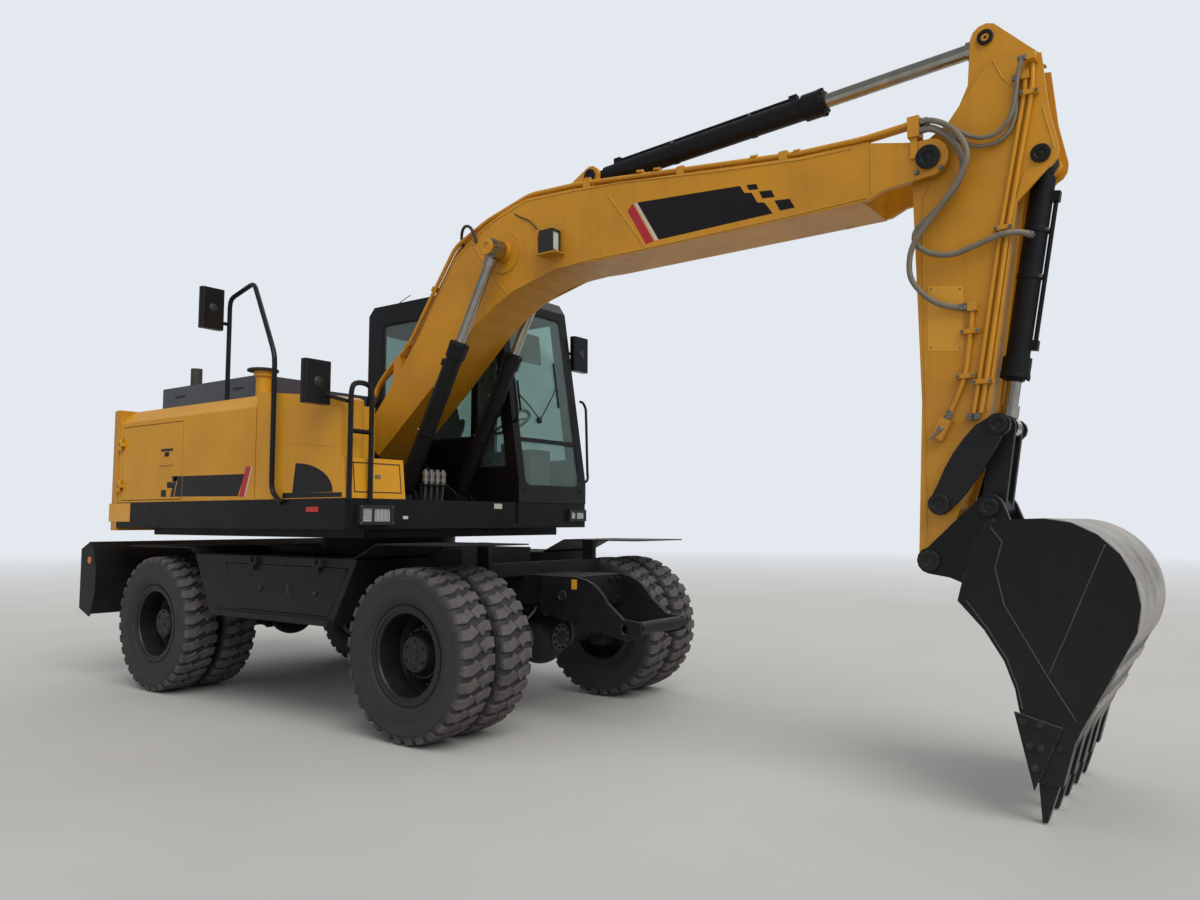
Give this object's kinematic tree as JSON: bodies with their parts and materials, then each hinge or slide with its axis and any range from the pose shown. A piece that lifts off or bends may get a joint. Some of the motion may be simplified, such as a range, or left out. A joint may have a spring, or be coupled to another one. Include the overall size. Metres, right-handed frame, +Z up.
{
  "type": "wheeled excavator",
  "caption": "Wheeled excavator with a turning upper structure, cab, one-piece boom, arm, bucket and rear blade, all jointed.",
  "frame": {"origin": "on the ground below the middle of the machine's overall length, in its centre plane", "axes": "+X towards the front (boom side), +Y to the machine's left (cab side), +Z up"},
  "size_m": [7.632, 2.9, 3.8258],
  "materials": {
    "frame_black": "semi-gloss black paint",
    "box_black": "black sheet metal, light for its size",
    "rim_black": "matt black paint",
    "tyre_rubber": "black rubber",
    "dark_grey": "dark grey cast metal",
    "engine_grey": "plain dark grey block",
    "body_yellow": "yellow painted sheet metal panels",
    "cast_yellow": "yellow paint on steel",
    "gear_black": "black paint worn down to bare steel where earth rubs",
    "hood_blue_black": "smooth dark cover",
    "cab_black": "black painted cab frame",
    "window_glass": "tinted glass",
    "seat_fabric": "dark seat fabric and plastic",
    "lamp_lens": "clear lens",
    "hose_rubber": "rubber hydraulic hose, dusty",
    "rod_chrome": "hard chrome"
  },
  "bodies": {
    "undercarriage": {"chassis_frame": "frame_black", "axle_front": "frame_black", "axle_rear": "frame_black", "fenders": "frame_black", "side_boxes": "box_black", "drivetrain": "dark_grey"},
    "box_door_right": {"side_box_door_right": "box_black"},
    "box_door_left": {"side_box_door_left": "box_black"},
    "steer_right": {"knuckle_right": "frame_black"},
    "steer_left": {"knuckle_left": "frame_black"},
    "wheels_front_right": {"rims_front_right": "rim_black", "tyres_front_right": "tyre_rubber"},
    "wheels_front_left": {"rims_front_left": "rim_black", "tyres_front_left": "tyre_rubber"},
    "wheels_rear_right": {"rims_rear_right": "rim_black", "tyres_rear_right": "tyre_rubber"},
    "wheels_rear_left": {"rims_rear_left": "rim_black", "tyres_rear_left": "tyre_rubber"},
    "dozer_blade": {"blade": "frame_black"},
    "blade_cylinders": {"blade_ram_barrels": "frame_black"},
    "blade_rods": {"blade_ram_rods": "rod_chrome"},
    "upper": {"platform": "frame_black", "counterweight": "cast_yellow", "engine_block": "engine_grey", "house": "body_yellow", "air_intake": "body_yellow", "tank_locker": "body_yellow", "toolbox": "body_yellow", "handrails": "rim_black", "mirrors": "box_black", "cab_shell": "cab_black", "cab_glass": "window_glass", "cab_seat": "seat_fabric", "lamps": "lamp_lens", "foot_hoses": "hose_rubber"},
    "side_door_right": {"house_door_right": "body_yellow"},
    "side_door_left": {"house_door_left": "body_yellow"},
    "hood": {"engine_hood": "hood_blue_black", "exhaust": "dark_grey"},
    "operator_door": {"cab_door": "cab_black", "door_glass": "window_glass"},
    "boom_body": {"boom": "cast_yellow", "boom_pipes": "cast_yellow", "boom_lamp": "lamp_lens", "tip_hoses": "hose_rubber", "breaker_hose": "hose_rubber", "bucket_hose": "hose_rubber"},
    "boom_cylinders": {"boom_ram_barrels": "frame_black"},
    "boom_rods": {"boom_ram_rods": "rod_chrome"},
    "arm_body": {"arm": "cast_yellow", "arm_pipes": "cast_yellow"},
    "arm_cylinder": {"arm_ram_barrel": "frame_black"},
    "arm_rod": {"arm_ram_rod": "rod_chrome"},
    "bucket_body": {"bucket": "gear_black"},
    "bucket_cylinder": {"bucket_ram_barrel": "frame_black"},
    "bucket_rod": {"bucket_ram_rod": "rod_chrome"},
    "guide_links": {"side_links": "gear_black"},
    "fork_link": {"h_link": "gear_black"}
  },
  "joints": [
    {"name": "slew", "type": "hinge", "parent": "undercarriage", "child": "upper", "pos_m": [-1.366, 0, 1.2], "axis": [0, 0, 1], "continuous": true},
    {"name": "steer_right_turn", "type": "hinge", "parent": "undercarriage", "child": "steer_right", "pos_m": [0.184, -0.8, 0.509], "axis": [0, 0, 1], "range_deg": [-30, 30]},
    {"name": "steer_left_turn", "type": "hinge", "parent": "undercarriage", "child": "steer_left", "pos_m": [0.184, 0.8, 0.509], "axis": [0, 0, 1], "range_deg": [-30.5, 30.5]},
    {"name": "wheels_front_right_spin", "type": "hinge", "parent": "steer_right", "child": "wheels_front_right", "pos_m": [0.184, -0.948, 0.509], "axis": [0, 1, 0], "continuous": true},
    {"name": "wheels_front_left_spin", "type": "hinge", "parent": "steer_left", "child": "wheels_front_left", "pos_m": [0.184, 0.948, 0.509], "axis": [0, 1, 0], "continuous": true},
    {"name": "wheels_rear_right_spin", "type": "hinge", "parent": "undercarriage", "child": "wheels_rear_right", "pos_m": [-2.616, -0.948, 0.509], "axis": [0, 1, 0], "continuous": true},
    {"name": "wheels_rear_left_spin", "type": "hinge", "parent": "undercarriage", "child": "wheels_rear_left", "pos_m": [-2.616, 0.948, 0.509], "axis": [0, 1, 0], "continuous": true},
    {"name": "box_door_right_lift", "type": "hinge", "parent": "undercarriage", "child": "box_door_right", "pos_m": [-1.066, -1.23, 1.001], "axis": [-1, 0, 0], "range_deg": [0, 95]},
    {"name": "box_door_left_lift", "type": "hinge", "parent": "undercarriage", "child": "box_door_left", "pos_m": [-1.066, 1.23, 1.001], "axis": [1, 0, 0], "range_deg": [0, 95]},
    {"name": "side_door_right_swing", "type": "hinge", "parent": "upper", "child": "side_door_right", "pos_m": [-3.174, -1.24, 1.75], "axis": [0, 0, -1], "range_deg": [0, 100]},
    {"name": "side_door_left_swing", "type": "hinge", "parent": "upper", "child": "side_door_left", "pos_m": [-3.174, 1.24, 1.75], "axis": [0, 0, 1], "range_deg": [0, 100]},
    {"name": "hood_lift", "type": "hinge", "parent": "upper", "child": "hood", "pos_m": [-2.666, 0.865, 2.185], "axis": [-1, 0, 0], "range_deg": [0, 50]},
    {"name": "operator_door_swing", "type": "hinge", "parent": "upper", "child": "operator_door", "pos_m": [-1.434, 1.24, 2.2], "axis": [0, 0, 1], "range_deg": [0, 110]},
    {"name": "boom_lift", "type": "hinge", "parent": "upper", "child": "boom_body", "pos_m": [-1.496, 0, 1.79], "axis": [0, -1, 0], "range_deg": [-44.5, 43], "deforming": ["foot_hoses"]},
    {"name": "boom_cylinders_swing", "type": "hinge", "parent": "upper", "child": "boom_cylinders", "pos_m": [-0.906, 0, 1.45], "axis": [0, -1, 0], "range_deg": [-45, 43.5]},
    {"name": "boom_rods_travel", "type": "slide", "parent": "boom_cylinders", "child": "boom_rods", "axis": [0.4647, 0, 0.8855], "range_m": [-0.4991, 0.4823]},
    {"name": "arm_curl", "type": "hinge", "parent": "boom_body", "child": "arm_body", "pos_m": [2.923, 0, 3.152], "axis": [0, 1, 0], "range_deg": [-78, 35.5], "deforming": ["tip_hoses", "breaker_hose", "bucket_hose"]},
    {"name": "arm_cylinder_swing", "type": "hinge", "parent": "boom_body", "child": "arm_cylinder", "pos_m": [0.674, 0, 3.6], "axis": [0, 1, 0], "range_deg": [-1.21, 2.06]},
    {"name": "arm_rod_travel", "type": "slide", "parent": "arm_cylinder", "child": "arm_rod", "axis": [0.9982, 0, 0.0594], "range_m": [-0.7644, 0.349]},
    {"name": "bucket_curl", "type": "hinge", "parent": "arm_body", "child": "bucket_body", "pos_m": [2.869, 0, 1.092], "axis": [0, 1, 0], "range_deg": [-2, 126]},
    {"name": "bucket_cylinder_swing", "type": "hinge", "parent": "arm_body", "child": "bucket_cylinder", "pos_m": [3.438, 0, 3.068], "axis": [0, 1, 0], "range_deg": [-8.06, 0.62]},
    {"name": "bucket_rod_travel", "type": "slide", "parent": "bucket_cylinder", "child": "bucket_rod", "axis": [-0.1661, 0, -0.9861], "range_m": [-0.0146, 0.7937]},
    {"name": "guide_links_swing", "type": "hinge", "parent": "arm_body", "child": "guide_links", "pos_m": [2.931, 0, 1.374], "axis": [0, 1, 0], "range_deg": [-2.26, 111.38]},
    {"name": "fork_link_swing", "type": "hinge", "parent": "bucket_body", "child": "fork_link", "pos_m": [3.157, 0, 1.356], "axis": [0, 1, 0], "range_deg": [-89.96, 1.92]},
    {"name": "blade_lower", "type": "hinge", "parent": "undercarriage", "child": "dozer_blade", "pos_m": [-2.926, 0, 0.56], "axis": [0, -1, 0], "range_deg": [0, 37.5]},
    {"name": "blade_cylinders_swing", "type": "hinge", "parent": "undercarriage", "child": "blade_cylinders", "pos_m": [-3.066, 0, 0.88], "axis": [0, -1, 0], "range_deg": [-0.5, 33.12]},
    {"name": "blade_rods_travel", "type": "slide", "parent": "blade_cylinders", "child": "blade_rods", "axis": [-0.9224, 0, -0.3861], "range_m": [-0.002, 0.2213]}
  ],
  "couplings": [
    {"joint": "steer_left_turn", "follows": "steer_right_turn", "ratio": 1},
    {"joint": "boom_cylinders_swing", "follows": "boom_lift", "ratio": 1},
    {"joint": "boom_rods_travel", "follows": "boom_lift", "m_per_rad": 0.64},
    {"joint": "arm_cylinder_swing", "follows": "arm_curl", "ratio": -0.02},
    {"joint": "arm_rod_travel", "follows": "arm_curl", "m_per_rad": 0.56},
    {"joint": "bucket_cylinder_swing", "follows": "bucket_curl", "ratio": -0.06},
    {"joint": "bucket_rod_travel", "follows": "bucket_curl", "m_per_rad": 0.36},
    {"joint": "guide_links_swing", "follows": "bucket_curl", "ratio": 0.88},
    {"joint": "fork_link_swing", "follows": "bucket_curl", "ratio": -0.71},
    {"joint": "blade_cylinders_swing", "follows": "blade_lower", "ratio": 0.87},
    {"joint": "blade_rods_travel", "follows": "blade_lower", "m_per_rad": 0.335}
  ]
}
